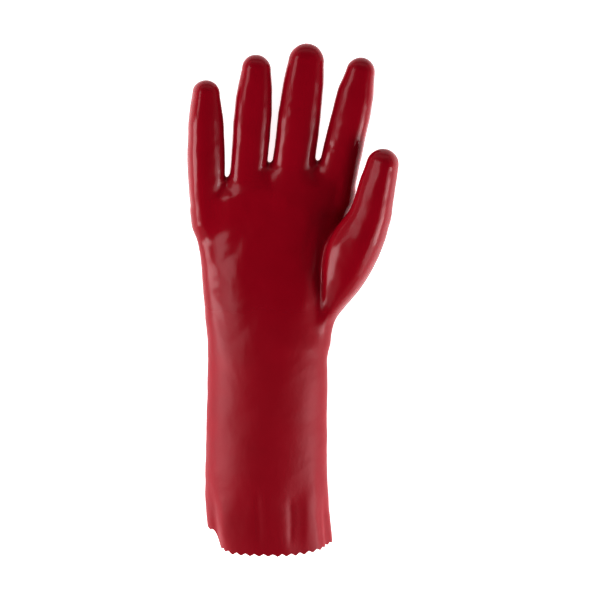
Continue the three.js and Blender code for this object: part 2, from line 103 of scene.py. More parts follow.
class SmoothTable:
    """Columns of numbers along a form, read anywhere on a smooth curve through the rows."""

    def __init__(self, rows: list[dict[str, float]], fine: int = 800) -> None:
        """Fills a fine table from a few rows.

        Args:
            rows: Rows with the same named columns, one of them "along", in rising order.
            fine: Number of steps of the fine table.
        """
        place = np.array([row["along"] for row in rows])
        self.place = np.linspace(place[0], place[-1], fine)
        i = clamp(np.searchsorted(place, self.place) - 1, 0, len(place) - 2)
        span = place[i + 1] - place[i]
        t = clamp((self.place - place[i]) / span, 0.0, 1.0)
        keep = 1.0 - t
        self.columns: dict[str, Array] = {}
        for name in rows[0]:
            value = np.array([row[name] for row in rows])
            before = np.maximum(np.arange(len(rows)) - 1, 0)
            after = np.minimum(np.arange(len(rows)) + 1, len(rows) - 1)
            slope = (value[after] - value[before]) / (place[after] - place[before])
            self.columns[name] = self.softened(
                value[i] * keep * keep * (1.0 + 2.0 * t)
                + value[i + 1] * t * t * (3.0 - 2.0 * t)
                + slope[i] * span * t * keep * keep
                - slope[i + 1] * span * t * t * keep
            )

    @staticmethod
    def softened(values: Array) -> Array:
        """The values with the bends of their curve spread over a few steps."""
        reach = len(values) // 40
        window = np.full(2 * reach + 1, 1.0 / (2 * reach + 1))
        padded = np.pad(values, 2 * reach, mode="reflect", reflect_type="odd")
        return np.convolve(np.convolve(padded, window, "valid"), window, "valid")

    def at(self, column: str, along: Array) -> Array:
        """The column's values at places along the form."""
        return np.interp(along, self.place, self.columns[column])


def rows_of(names: str, *rows: tuple[float, ...]) -> list[dict[str, float]]:
    """Rows of a table as dictionaries.

    Args:
        names: The columns' names, with spaces between.
        rows: The columns' values, row by row.

    Returns:
        One dictionary for each row.
    """
    return [dict(zip(names.split(), row, strict=True)) for row in rows]


@dataclass
class CuffFold:
    """A soft fold that runs along the cuff.

    angle goes round from the thumb's side over the palm's side, in degrees, and spread is the half
    width. depth is how far it goes in, in millimetres. start and end are shares of the cuff's length.
    """

    angle: float
    spread: float
    depth: float
    start: float
    end: float

    def inward(self, angle: Array, along: Array) -> Array:
        """How far the wall goes in, for angles in degrees and shares along the cuff."""
        turn = np.abs((angle - self.angle + 540.0) % 360.0 - 180.0) / self.spread
        run = np.abs(2.0 * (along - self.start) / (self.end - self.start) - 1.0)
        run = np.minimum(run, 1.0)
        return self.depth * np.exp(-turn * turn) * (1.0 - run * run) ** 2


@dataclass
class Tube:
    """The tube of the cuff and palm, from the mouth over the wrist to the crotches of the fingers."""

    cuff_length: float = 136.0
    palm_length: float = 125.2
    mouth_width: float = 85.0
    mouth_depth: float = 66.0
    wrist_width: float = 83.2
    wrist_depth: float = 56.0
    knuckles_width: float = 111.0
    knuckles_depth: float = 29.0
    crotch_slant: float = 12.1
    crotch_arch: float = 12.0
    web_rounding: float = 15.0
    rest_flattening: float = 1.3
    # to_mouth and to_knuckles blend the wrist's width into theirs and thinning takes its depth to the
    # knuckles'. bulge and shift are shares of the mouth's width, and lift of its depth.
    sections: list[dict[str, float]] = field(default_factory=lambda: rows_of(
        "along to_mouth to_knuckles thinning bulge shift lift squareness",
        (0.00, 1.00, 0.00, 0.00, 0.022, 0.040, 0.00, 2.1),
        (0.18, 1.00, 0.00, 0.00, 0.022, 0.008, 0.00, 2.1),
        (0.37, 0.90, 0.00, 0.00, 0.010, -0.001, 0.00, 2.1),
        (0.66, 0.50, 0.00, 0.00, 0.000, 0.005, 0.00, 2.1),
        (1.00, 0.00, 0.00, 0.00, 0.000, 0.012, 0.01, 2.1),
        (1.28, 0.00, 0.05, 0.28, 0.000, -0.010, 0.00, 2.3),
        (1.50, 0.00, 0.22, 0.50, 0.000, -0.004, 0.00, 2.4),
        (1.68, 0.00, 0.67, 0.66, 0.000, 0.038, 0.00, 2.4),
        (1.82, 0.00, 0.81, 0.80, 0.000, 0.050, 0.03, 2.4),
        (2.00, 0.00, 0.88, 1.00, 0.000, 0.074, 0.10, 2.4),
    ))
    folds: tuple[CuffFold, ...] = (
        CuffFold(152.0, 13.0, 3.0, -0.35, 0.40),
        CuffFold(128.0, 11.0, -0.9, -0.30, 0.55),
        CuffFold(63.0, 10.0, 1.4, -0.25, 0.50),
        CuffFold(42.0, 9.0, -1.2, -0.20, 0.60),
        CuffFold(22.0, 8.0, 2.0, -0.30, 0.35),
        CuffFold(96.0, 12.0, 0.7, -0.30, 0.40),
        CuffFold(222.0, 14.0, 1.3, -0.30, 0.45),
        CuffFold(330.0, 14.0, 1.3, -0.30, 0.40),
    )

    def __post_init__(self) -> None:
        """Puts the table's places in millimetres from the mouth."""
        rows = []
        for row in self.sections:
            length = min(row["along"], 1.0) * self.cuff_length
            length += max(row["along"] - 1.0, 0.0) * self.palm_length
            rows.append({**row, "along": length})
        self.table = SmoothTable(rows)
        self.crotch_height = self.cuff_length + self.palm_length
        self.dome_start = self.crotch_height - self.web_rounding

    def section(self, length: Array) -> dict[str, Array]:
        """Middle, half sizes and squareness of the tube at lengths from the mouth."""
        at = {name: self.table.at(name, length) for name in self.sections[0]}
        width = (self.wrist_width
                 + at["to_mouth"] * (self.mouth_width - self.wrist_width)
                 + at["to_knuckles"] * (self.knuckles_width - self.wrist_width)
                 + at["bulge"] * self.mouth_width)
        depth = (self.wrist_depth
                 + at["to_mouth"] * (self.mouth_depth - self.wrist_depth)
                 + at["thinning"] * (self.knuckles_depth - self.wrist_depth))
        return {
            "x": at["shift"] * self.mouth_width,
            "z": at["lift"] * self.mouth_depth - self.rest_flattening + depth / 2.0,
            "half_width": width / 2.0,
            "half_depth": depth / 2.0,
            "squareness": at["squareness"],
        }

    def crotch_rise(self, x: Array) -> Array:
        """Height of the crotch line over its middle, for places across the palm."""
        across = clamp(x / (self.knuckles_width / 2.0), -1.2, 1.2)
        return self.crotch_slant * across - self.crotch_arch * across * across

    def rise_share(self, y: Array) -> Array:
        """How much of the crotch line's rise places along the palm follow."""
        return clamp((y - self.cuff_length) / self.palm_length, 0.0, 1.0) ** 2

    def distance(self, points: Array) -> Array:
        """Distance of points, an (n, 3) array, from the tube."""
        x, y, z = points.T
        length = y - self.crotch_rise(x) * self.rise_share(y)
        at = self.section(clamp(length, 0.0, self.dome_start))
        past = np.maximum(length - self.dome_start, 0.0)
        u = x - at["x"]
        v = z - at["z"]
        angle = np.degrees(np.arctan2(v / at["half_depth"], u / at["half_width"]))
        along = y / self.cuff_length
        inward = sum(fold.inward(angle, along) for fold in self.folds)
        return inward + outline_distance(u, v, past, at["half_width"], at["half_depth"],
                                         at["squareness"], self.web_rounding)


@dataclass
class Stall:
    """One digit's stall: a tapering, rounded form along a leaning line, with a domed tip.

    root is where its line starts, lean its angle towards the thumb and roll how far its front is
    turned towards the thumb, in degrees. rise is how much higher the tip's middle is than the root's.
    """

    root: tuple[float, float, float]
    length: float
    width: float
    depth: float
    lean: float
    rise: float
    rows: list[dict[str, float]]
    roll: float = 0.0
    squareness: float = 2.7
    tip_dome: float = 1.25

    def __post_init__(self) -> None:
        """Works out the stall's directions and its fine table."""
        lean = math.radians(self.lean)
        across = np.array([math.cos(lean), -math.sin(lean), 0.0])
        along = np.array([math.sin(lean), math.cos(lean), self.rise / self.length])
        self.along = along / np.linalg.norm(along)
        out = np.cross(across, self.along)
        roll = math.radians(self.roll)
        self.across = across * math.cos(roll) - out * math.sin(roll)
        self.out = np.cross(self.across, self.along)
        self.start = np.array(self.root)
        self.table = SmoothTable(self.rows, 400)
        self.dome = self.tip_dome * self.width * self.rows[-1]["width"] / 2.0

    def section(self, at: Array) -> dict[str, Array]:
        """Half sizes and sideways bend of the stall at lengths from its root."""
        share = clamp(at, 0.0, self.length - self.dome) / self.length
        return {
            "half_width": self.table.at("width", share) * self.width / 2.0,
            "half_depth": self.table.at("depth", share) * self.depth / 2.0,
            "sideways": self.table.at("sideways", share) * self.width,
        }

    def local(self, points: Array) -> tuple[Array, Array, Array]:
        """Places of points along, across and through the stall."""
        off = points - self.start
        at = off @ self.along
        across = off @ self.across - self.section(at)["sideways"]
        return at, across, off @ self.out

    def distance(self, points: Array) -> Array:
        """Distance of points, an (n, 3) array, from the stall."""
        at, u, v = self.local(points)
        section = self.section(at)
        past = np.maximum(np.maximum(at - (self.length - self.dome), 0.0), -at)
        return outline_distance(u, v, past, section["half_width"], section["half_depth"],
                                self.squareness, self.dome)


@dataclass
class FingerSize:
    """A finger's own sizes.

    across is its root's place, as a share of half the knuckles' width. joint, pad and end are its
    width at the lower joint, the pad and the tip, and base at its root, as shares of its widest.
    """

    name: str
    length: float
    width: float
    depth: float
    across: float
    lean: float
    roll: float
    base: float
    joint: float
    pad: float
    end: float


@dataclass
class HandForm:
    """The whole outer form of the glove: tube, four fingers and thumb, blended where they meet."""

    tube: Tube = field(default_factory=Tube)
    root_inset: float = 18.5
    root_height: float = 20.0
    tip_height: float = 30.0
    root_blend: float = 9.0
    crotch_blend: float = 3.0
    # The fingers' blend grows by this much below web_start, and by nothing above web_end, both
    # measured from the crotch line.
    web_blend: float = 9.0
    web_start: float = -2.0
    web_end: float = 10.5
    # The thumb's blend changes between its foot, its crotch and its front over these Y and Z.
    thumb_blend_at_foot: float = 13.0
    thumb_blend_at_crotch: float = 5.0
    thumb_blend_in_front: float = 3.5
    thumb_crotch_y: tuple[float, float] = (175.0, 212.0)
    thumb_front_y: tuple[float, float] = (158.0, 188.0)
    thumb_front_z: tuple[float, float] = (14.0, 38.0)
    # Limits for a point's way onto the form.
    least_steepness: float = 0.2
    longest_stride: float = 4.0
    fingers: tuple[FingerSize, ...] = (
        FingerSize("little", 78.5, 24.8, 24.0, -0.745, 0.7, 18.0, 0.73, 0.98, 0.92, 0.76),
        FingerSize("ring", 83.8, 25.9, 25.5, -0.248, 4.8, 3.0, 0.98, 0.97, 0.94, 0.79),
        FingerSize("middle", 85.4, 29.2, 27.0, 0.297, 7.1, 0.0, 1.01, 0.99, 0.94, 0.84),
        FingerSize("index", 78.3, 25.9, 25.5, 0.832, 12.4, -10.0, 1.08, 1.03, 0.95, 0.76),
    )
    # The thumb from near the wrist to its tip. It swells into the ball of the thumb.
    thumb_rows: list[dict[str, float]] = field(default_factory=lambda: rows_of(
        "along width depth sideways",
        (0.000, 0.10, 0.30, -0.030),
        (0.100, 0.12, 0.55, -0.030),
        (0.180, 0.36, 0.75, -0.020),
        (0.330, 0.76, 0.95, -0.005),
        (0.460, 0.95, 1.00, 0.005),
        (0.575, 0.91, 0.97, 0.055),
        (0.660, 0.77, 0.90, 0.115),
        (0.735, 0.71, 0.83, 0.105),
        (0.800, 0.67, 0.78, 0.075),
        (0.900, 0.59, 0.70, 0.045),
        (1.000, 0.50, 0.62, 0.020),
    ))

    def __post_init__(self) -> None:
        """Places the stalls."""
        self.stalls = [self.finger_stall(finger) for finger in self.fingers]
        self.thumb = Stall(
            root=(40.4, 145.0, 27.0), length=140.0, width=36.2, depth=31.0, lean=17.1, rise=17.0,
            rows=self.thumb_rows, roll=-22.0,
        )

    def finger_stall(self, finger: FingerSize) -> Stall:
        """The stall of one finger, rooted on the slanting crotch line."""
        x = finger.across * self.tube.knuckles_width / 2.0
        y = self.tube.crotch_height + float(self.tube.crotch_rise(np.array(x))) - self.root_inset
        rows = rows_of(
            "along width depth sideways",
            (0.00, finger.base, 0.90, 0.0),
            (0.28, finger.joint, 1.00, 0.0),
            (0.52, 1.0, 0.98, 0.0),
            (0.74, finger.pad, 0.90, 0.0),
            (0.88, finger.end, 0.80, 0.0),
            (1.00, 0.8 * finger.end, 0.60, 0.0),
        )
        LOG.info("%s finger: %.1f mm long", finger.name, finger.length)
        return Stall(
            root=(x, y, self.root_height), length=finger.length + self.root_inset,
            width=finger.width, depth=finger.depth, lean=finger.lean,
            rise=self.tip_height - self.root_height, rows=rows, roll=finger.roll,
        )

    def distance(self, points: Array) -> Array:
        """Distance of points from the glove's outer surface, under zero inside it."""
        over_crotch = points[:, 1] - self.tube.crotch_height - self.tube.crotch_rise(points[:, 0])
        in_web = 1.0 - smooth_step(over_crotch, self.web_start, self.web_end)
        finger_blend = self.crotch_blend + self.web_blend * in_web
        fingers = self.stalls[0].distance(points)
        for stall in self.stalls[1:]:
            fingers = blended(fingers, stall.distance(points), finger_blend)
        hand = blended(self.tube.distance(points), fingers, self.root_blend)
        low, high = self.thumb_front_z
        front = clamp((points[:, 2] - low) / (high - low), 0.0, 1.0)
        front = front * smooth_step(points[:, 1], *self.thumb_front_y)
        at_crotch = smooth_step(points[:, 1], *self.thumb_crotch_y)
        blend = self.thumb_blend_at_foot
        blend = blend + (self.thumb_blend_at_crotch - blend) * at_crotch
        blend = blend + (self.thumb_blend_in_front - blend) * front
        return blended(hand, self.thumb.distance(points), blend)

    def slope(self, points: Array, step: float = 0.05) -> Array:
        """The way out of the form at points, and how fast the distance grows that way."""
        slope = np.empty_like(points)
        for axis in range(3):
            move = np.zeros(3)
            move[axis] = step
            slope[:, axis] = self.distance(points + move) - self.distance(points - move)
        return slope / (2.0 * step)

    def lay_on(self, points: Array, level: Array | None = None, rounds: int = 3) -> Array:
        """Moves points onto the form.

        Args:
            points: The points, an (n, 3) array.
            level: Which points keep their own Y, or None.
            rounds: How often each point is moved towards the form.

        Returns:
            The points on the form.
        """
        points = points.copy()
        for _ in range(rounds):
            slope = self.slope(points)
            if level is not None:
                slope[level, 1] = 0.0
            steep = np.maximum((slope * slope).sum(axis=1), self.least_steepness)
            stride = clamp(self.distance(points) / steep, -self.longest_stride, self.longest_stride)
            points -= slope * stride[:, None]
        return points


@dataclass
class Block:
    """Where one digit stands in the pile of blocks that the skin's faces are taken from."""

    stall: Stall
    first_column: int
    crotch_row: int
    start: float
    rows: int


@dataclass
class SkinQuilt:
    """Four-sided faces laid over the form, in columns across the hand, layers and rows along it."""

    form: HandForm
    face_length: float = 6.7
    faces_across: int = 4
    faces_through: int = 4
    trim: float = 15.0
    thumb_crotch: float = 0.6
    free_rows: int = 3
    # How much of the form's size the first places fill.
    fill_width: float = 0.9
    fill_depth: float = 0.8
    fill_in_stall: float = 0.7
    # Rounds of spreading, and how far a corner goes in each, before and after the dividing.
    coarse_rounds: int = 50
    coarse_share: float = 0.5
    fine_rounds: tuple[int, ...] = (4, 3)
    fine_share: float = 0.4

    def __post_init__(self) -> None:
        """Counts the rows and places the digits in the pile."""
        tube = self.form.tube
        self.wrist_row = self.rows_for(tube.cuff_length - self.trim)
        ball_rows = self.rows_for(self.thumb_crotch * tube.palm_length)
        self.crotch_row = self.wrist_row + self.rows_for(tube.palm_length)
        self.tube_columns = len(self.form.stalls) * (self.faces_across + 1) - 1
        self.blocks = [
            Block(stall, i * (self.faces_across + 1), self.crotch_row, self.form.root_inset,
                  self.rows_for(stall.length - self.form.root_inset))
            for i, stall in enumerate(self.form.stalls)
        ]
        thumb = self.form.thumb
        start = self.thumb_crotch * tube.palm_length
        self.blocks.append(Block(thumb, self.tube_columns + 1, self.wrist_row + ball_rows, start,
                                 self.rows_for(thumb.length - start)))

    def rows_for(self, length: float) -> int:
        """Number of faces along a length."""
        return max(round(length / self.face_length), 2)

    def is_filled(self, column: int, row: int, layer: int) -> bool:
        """Whether the pile has a block at a column, row and layer."""
        if not 0 <= layer < self.faces_through or row < 0 or column < 0:
            return False
        if column < self.tube_columns and row < self.crotch_row:
            return True
        ball = self.tube_columns <= column <= self.tube_columns + self.faces_across
        if ball and self.wrist_row + 1 <= row < self.blocks[-1].crotch_row:
            return True
        return any(
            block.first_column <= column < block.first_column + self.faces_across
            and block.crotch_row <= row < block.crotch_row + block.rows
            for block in self.blocks
        )

    def first_guess(self, column: int, row: int, layer: int) -> Array:
        """A first place, inside the form, for a corner of a block."""
        through = 2.0 * layer / self.faces_through - 1.0
        for block in self.blocks:
            inside = block.first_column <= column <= block.first_column + self.faces_across
            if inside and (row > block.crotch_row or block.first_column > self.tube_columns):
                return self.guess_in_stall(block, column, row, through)
        return self.guess_in_tube(column, row, through)

    def guess_in_tube(self, column: int, row: int, through: float) -> Array:
        """A first place for a corner in the cuff or palm."""
        tube = self.form.tube
        if row < self.wrist_row:
            length = self.trim + (tube.cuff_length - self.trim) * row / self.wrist_row
        else:
            share = (row - self.wrist_row) / (self.crotch_row - self.wrist_row)
            length = tube.cuff_length + share * tube.palm_length
        at = tube.section(np.array(min(length, tube.dome_start)))
        side = 2.0 * column / self.tube_columns - 1.0
        x = at["x"] + at["half_width"] * self.fill_width * side
        y = length + tube.crotch_rise(x) * tube.rise_share(np.array(length))
        return np.array([x, y, at["z"] + at["half_depth"] * self.fill_depth * through])

    def guess_in_stall(self, block: Block, column: int, row: int, through: float) -> Array:
        """A first place for a corner in a digit's stall."""
        stall = block.stall
        if row >= block.crotch_row:
            share = (row - block.crotch_row) / block.rows
            at = block.start + (stall.length - stall.dome / 2.0 - block.start) * share
        else:
            share = (row - self.wrist_row) / (block.crotch_row - self.wrist_row)
            at = stall.dome + (block.start - stall.dome) * share
        section = stall.section(np.array(at))
        side = 2.0 * (column - block.first_column) / self.faces_across - 1.0
        across = section["sideways"] + section["half_width"] * self.fill_in_stall * side
        out = section["half_depth"] * self.fill_in_stall * through
        return stall.start + stall.along * at + stall.across * across + stall.out * out

    def pile(self) -> tuple[Array, Array, Array, Array]:
        """The corners and faces of the pile's outside, open at the cuff's end.

        Returns:
            The corners, the four-sided faces facing out, which corners are at the cuff's end, and
            which ones stay in their stall while the faces are spread.
        """
        numbers: dict[tuple[int, int, int], int] = {}
        faces: list[list[int]] = []
        steps = np.eye(3, dtype=int)
        columns = self.tube_columns + 1 + self.faces_across
        top_row = max(block.crotch_row + block.rows for block in self.blocks)
        for column in range(columns):
            for row in range(top_row):
                for layer in range(self.faces_through):
                    if not self.is_filled(column, row, layer):
                        continue
                    here = np.array([column, row, layer])
                    for axis in range(3):
                        for way in (0, 1):
                            if self.is_filled(*(here + steps[axis] * (2 * way - 1))):
                                continue
                            if axis == 1 and way == 0 and row == 0:
                                continue
                            base = here + steps[axis] * way
                            a = steps[(axis + 1) % 3]
                            b = steps[(axis + 2) % 3]
                            square = [tuple(base), tuple(base + a), tuple(base + a + b), tuple(base + b)]
                            face = [numbers.setdefault(corner, len(numbers)) for corner in square]
                            faces.append(face if way else face[::-1])
        corners = np.array([self.first_guess(*corner) for corner in numbers])
        at_end = np.array([corner[1] == 0 for corner in numbers])
        stays = np.array([
            any(block.first_column <= column <= block.first_column + self.faces_across
                and row > block.crotch_row + self.free_rows for block in self.blocks)
            for column, row, _ in numbers
        ])
        return corners, np.array(faces), at_end, stays

    @staticmethod
    def edges(faces: Array) -> Array:
        """Each edge of the faces once, as pairs of corner numbers."""
        pairs = np.concatenate([faces[:, [i, (i + 1) % 4]] for i in range(4)])
        return np.unique(np.sort(pairs, axis=1), axis=0)

    def spread(self, points: Array, faces: Array, at_end: Array, stays: Array, rounds: int,
               share: float) -> Array:
        """Spreads the corners evenly over the form, a little at a time.

        Args:
            points: The corners.
            faces: The faces.
            at_end: Corners at the cuff's end, which keep their height.
            stays: Corners that don't move.
            rounds: Number of rounds.
            share: How far a corner goes to its neighbours' middle in each round.

        Returns:
            The corners, spread and on the form.
        """
        pairs = self.edges(faces)
        both = np.concatenate([pairs, pairs[:, ::-1]])
        crossing = at_end[both[:, 0]] & ~at_end[both[:, 1]]
        both = both[~crossing]
        count = np.bincount(both[:, 0], minlength=len(points))[:, None]
        moving = ~stays & (count[:, 0] > 0)
        for _ in range(rounds):
            total = np.zeros_like(points)
            for axis in range(3):
                total[:, axis] = np.bincount(both[:, 0], points[both[:, 1], axis], len(points))
            middle = total / np.maximum(count, 1)
            points[moving] += share * (middle[moving] - points[moving])
            points[moving] = self.form.lay_on(points[moving], at_end[moving], 2)
        return points

    def divided(self, points: Array, faces: Array, at_end: Array) -> tuple[Array, Array, Array]:
        """Divides each face into four and lays the new corners on the form.

        Args:
            points: The corners.
            faces: The faces.
            at_end: Corners at the cuff's end.

        Returns:
            The new corners, faces and end corners.
        """
        pairs = self.edges(faces)
        number = {tuple(pair): len(points) + i for i, pair in enumerate(pairs.tolist())}
        first_middle = len(points) + len(pairs)
        middles = points[faces].mean(axis=1)
        halves = points[pairs].mean(axis=1)
        new_faces = []
        for i, face in enumerate(faces.tolist()):
            sides = [number[tuple(sorted((face[k], face[(k + 1) % 4])))] for k in range(4)]
            for k in range(4):
                new_faces.append([face[k], sides[k], first_middle + i, sides[k - 1]])
        points = np.concatenate([points, halves, middles])
        ends = at_end[pairs].all(axis=1)
        at_end = np.concatenate([at_end, ends, np.zeros(len(faces), bool)])
        return self.form.lay_on(points, at_end), np.array(new_faces), at_end

    def build(self) -> tuple[Array, Array, Array]:
        """The fine skin: its corners, four-sided faces and which corners are at the cuff's end."""
        points, faces, at_end, stays = self.pile()
        points = self.form.lay_on(points, at_end, 5)
        points = self.spread(points, faces, at_end, stays, self.coarse_rounds, self.coarse_share)
        for rounds in self.fine_rounds:
            points, faces, at_end = self.divided(points, faces, at_end)
            stays = np.zeros(len(points), bool)
            points = self.spread(points, faces, at_end, stays, rounds, self.fine_share)
        return points, faces, at_end


@dataclass
class PinkedMouth:
    """The cuff's cut edge, with soft teeth from pinking shears."""

    tooth_pitch: float = 6.3
    tooth_height: float = 1.7
    # 1 for pointed teeth, less for rounder ones, and how much their heights differ.
    tooth_point: float = 0.96
    unevenness: float = 0.22
    segments: int = 8
    # How much shorter the cuff is cut at its little finger's corner, behind, and at its thumb's side.
    little_corner: float = 10.0
    little_side: float = 2.6
    thumb_side: float = 1.6
    # The corner's cut starts and ends between these angles, in degrees from the little finger's
    # side over the back.
    corner_start: tuple[float, float] = (-34.0, -20.0)
    corner_end: tuple[float, float] = (12.0, 45.0)
    band_rows: int = 9
    band_ease: float = 0.8
    outline_points: int = 1441

    def outline(self, form: HandForm, height: float, share: Array) -> Array:
        """Points of the form's outline at one height, at shares of the way round it.

        Args:
            form: The glove's form.
            height: Y of the outline.
            share: Places round it, from 0 to 1.

        Returns:
            The points.
        """
        at = form.tube.section(np.array(height))
        angle = np.linspace(-math.pi, math.pi, self.outline_points)
        loop = np.stack([
            at["x"] + at["half_width"] * np.cos(angle),
            np.full_like(angle, height),
            at["z"] + at["half_depth"] * np.sin(angle),
        ], axis=1)
        loop = form.lay_on(loop, np.ones(len(loop), bool), 4)
        run = np.concatenate([[0.0], np.cumsum(np.linalg.norm(np.diff(loop, axis=0), axis=1))])
        place = share * run[-1]
        return np.stack([np.interp(place, run, loop[:, axis]) for axis in range(3)], axis=1)

    def band(self, form: HandForm, trim: float) -> Array:
        """Rows of points from the quilt's end down to the toothed edge.

        Args:
            form: The glove's form.
            trim: Y where the quilt ends.

        Returns:
            An array of rows, columns and coordinates; the last row is the edge.
        """
        coarse = self.outline(form, 0.0, np.linspace(0.0, 1.0, self.outline_points // 2 + 1))
        around = float(np.linalg.norm(np.diff(coarse, axis=0), axis=1).sum())
        teeth = round(around / self.tooth_pitch)
        columns = teeth * self.segments
        share = np.arange(columns) / columns
        foot = self.outline(form, 0.0, share)
        at = form.tube.section(np.array(0.0))
        sideways = (foot[:, 0] - at["x"]) / at["half_width"]
        upwards = (foot[:, 2] - at["z"]) / at["half_depth"]
        turn = np.degrees(np.arctan2(-upwards, -sideways))
        skew = (self.little_side * smooth_step(-sideways, 0.55, 0.95)
                + self.thumb_side * smooth_step(sideways, 0.45, 0.85)
                + self.little_corner * smooth_step(turn, *self.corner_start)
                - self.little_corner * smooth_step(turn, *self.corner_end))
        phase = np.arange(columns) / self.segments
        wave = np.arcsin(self.tooth_point * np.sin(2.0 * math.pi * phase)) / math.asin(self.tooth_point)
        tooth = np.floor(phase)
        uneven = 1.0 + self.unevenness * np.sin(1.7 * tooth + 0.6) * np.cos(0.9 * tooth)
        edge = skew + self.tooth_height * (0.5 + 0.5 * wave * uneven)
        rows = []
        for row in range(self.band_rows):
            down = (row + 1) / self.band_rows
            eased = down ** self.band_ease
            ring = self.outline(form, trim * (1.0 - eased), share)
            ring[:, 1] += edge * eased ** 2
            rows.append(form.lay_on(ring, np.ones(columns, bool), 2))
        LOG.info("pinked mouth: %d teeth, %.0f mm round", teeth, around)
        return np.array(rows)


def zipped(upper: Array, lower: Array, points: Array, middle: Array) -> list[list[int]]:
    """Triangles between two closed loops round one middle.

    Args:
        upper: Corner numbers of the loop further from the mouth.
        lower: Corner numbers of the loop nearer to the mouth.
        points: All the corners.
        middle: The loops' middle, as X and Z.

    Returns:
        The triangles, facing out.
    """
    def ordered(loop: Array) -> tuple[list[int], list[float]]:
        """The loop's corners in order of their angle."""
        angle = np.arctan2(points[loop, 2] - middle[1], points[loop, 0] - middle[0])
        order = np.argsort(angle)
        return loop[order].tolist(), angle[order].tolist()

    high, high_angle = ordered(upper)
    low, low_angle = ordered(lower)
    high_angle.append(high_angle[0] + 2.0 * math.pi)
    low_angle.append(low_angle[0] + 2.0 * math.pi)
    faces = []
    i = 0
    j = 0
    while i < len(high) or j < len(low):
        a = high[i % len(high)]
        b = low[j % len(low)]
        if i >= len(high) or (j < len(low) and low_angle[j + 1] < high_angle[i + 1]):
            faces.append([a, low[(j + 1) % len(low)], b])
            j += 1
        else:
            faces.append([a, high[(i + 1) % len(high)], b])
            i += 1
    return faces


class Finish(Enum):
    """The finishes on the glove, in the order of its material slots."""

    PVC = 0
    JERSEY = 1


def linear(hex_code: str) -> tuple[float, float, float, float]:
    """Linear colour of an sRGB hex value such as "8C0A1E"."""
    values = [int(hex_code[i:i + 2], 16) / 255.0 for i in (0, 2, 4)]
    red, green, blue = (
        v / 12.92 if v <= 0.04045 else ((v + 0.055) / 1.055) ** 2.4 for v in values
    )
    return (red, green, blue, 1.0)


def add_node(tree: bpy.types.NodeTree, kind: str, settings: dict[str, object] | None = None,
             links: dict[str | int, object] | None = None) -> bpy.types.Node:
    """Adds a node.

    Args:
        tree: The node tree.
        kind: The node's Blender type.
        settings: Values for the node's own properties or, by name, its inputs.
        links: For each input, the output that feeds it.

    Returns:
        The new node.
    """
    node = tree.nodes.new(kind)
    for name, value in (settings or {}).items():
        if isinstance(name, int) or name in node.inputs:
            node.inputs[name].default_value = value
        else:
            setattr(node, name, value)
    for name, output in (links or {}).items():
        tree.links.new(output, node.inputs[name])
    return node


def empty_material(name: str) -> tuple[bpy.types.Material, bpy.types.NodeTree]:
    """A new material without nodes, and its node tree."""
    made = bpy.data.materials.new(name)
    made.use_nodes = True
    made.node_tree.nodes.clear()
    return made, made.node_tree


@dataclass(frozen=True)
class DippedPvc:
    """Plasticised PVC, dipped over a knit and cured: a deep even red with a wet-looking gloss.

    The dip flows smooth on the hand, and the knit under it telegraphs faintly on the cuff, where the
    coating is thinner and looks more matte.
    """

    colour: str = "9C0622"
    deep_colour: str = "8E041C"
    hand_roughness: float = 0.17
    cuff_roughness: float = 0.44
    # Plasticised PVC refracts a little more than water and acrylic.
    ior: float = 1.53
    # The fine haze on the dip takes away part of what it reflects.
    gloss_level: float = 0.22
    # The knit's stitches are about 1.3 mm apart, and the dip's cloudy tint changes over about 27 mm.
    stitch: float = 1.3
    cloud: float = 27.0

    def material(self) -> bpy.types.Material:
        """Builds the finish."""
        made, tree = empty_material("dipped_pvc")
        place = add_node(tree, "ShaderNodeTexCoord").outputs["Object"]
        cuff = add_node(tree, "ShaderNodeAttribute", {"attribute_name": "cuff_share"}).outputs["Fac"]
        cloudy = add_node(tree, "ShaderNodeTexNoise", {"Scale": 1000.0 / self.cloud, "Detail": 3.0},
                          {"Vector": place})
        tint = add_node(tree, "ShaderNodeMix", {"data_type": "RGBA"}, {0: cloudy.outputs["Fac"]})
        tint.inputs[6].default_value = linear(self.deep_colour)
        tint.inputs[7].default_value = linear(self.colour)
        knit = add_node(tree, "ShaderNodeTexNoise",
                        {"Scale": 1000.0 / (2.0 * self.stitch), "Detail": 2.0}, {"Vector": place})
        on_cuff = add_node(tree, "ShaderNodeMapRange", {"To Min": 0.25, "To Max": 1.0}, {"Value": cuff})
        stitches = add_node(tree, "ShaderNodeMath", {"operation": "MULTIPLY"},
                            {0: knit.outputs["Fac"], 1: on_cuff.outputs[0]})
        knit_bump = add_node(tree, "ShaderNodeBump", {"Strength": 0.5, "Distance": 0.00022},
                             {"Height": stitches.outputs[0]})
        gloss = add_node(tree, "ShaderNodeMapRange",
                         {"To Min": self.hand_roughness, "To Max": self.cuff_roughness}, {"Value": cuff})
        patchy = add_node(tree, "ShaderNodeMapRange", {"To Min": -0.03, "To Max": 0.05},
                          {"Value": cloudy.outputs["Fac"]})
        rough = add_node(tree, "ShaderNodeMath", {"operation": "ADD"},
                         {0: gloss.outputs[0], 1: patchy.outputs[0]})
        shader = add_node(tree, "ShaderNodeBsdfPrincipled",
                          {"IOR": self.ior, "Specular IOR Level": self.gloss_level},
                          {"Base Color": tint.outputs[2], "Roughness": rough.outputs[0],
                           "Normal": knit_bump.outputs[0]})
        add_node(tree, "ShaderNodeOutputMaterial", None, {"Surface": shader.outputs[0]})
        return made


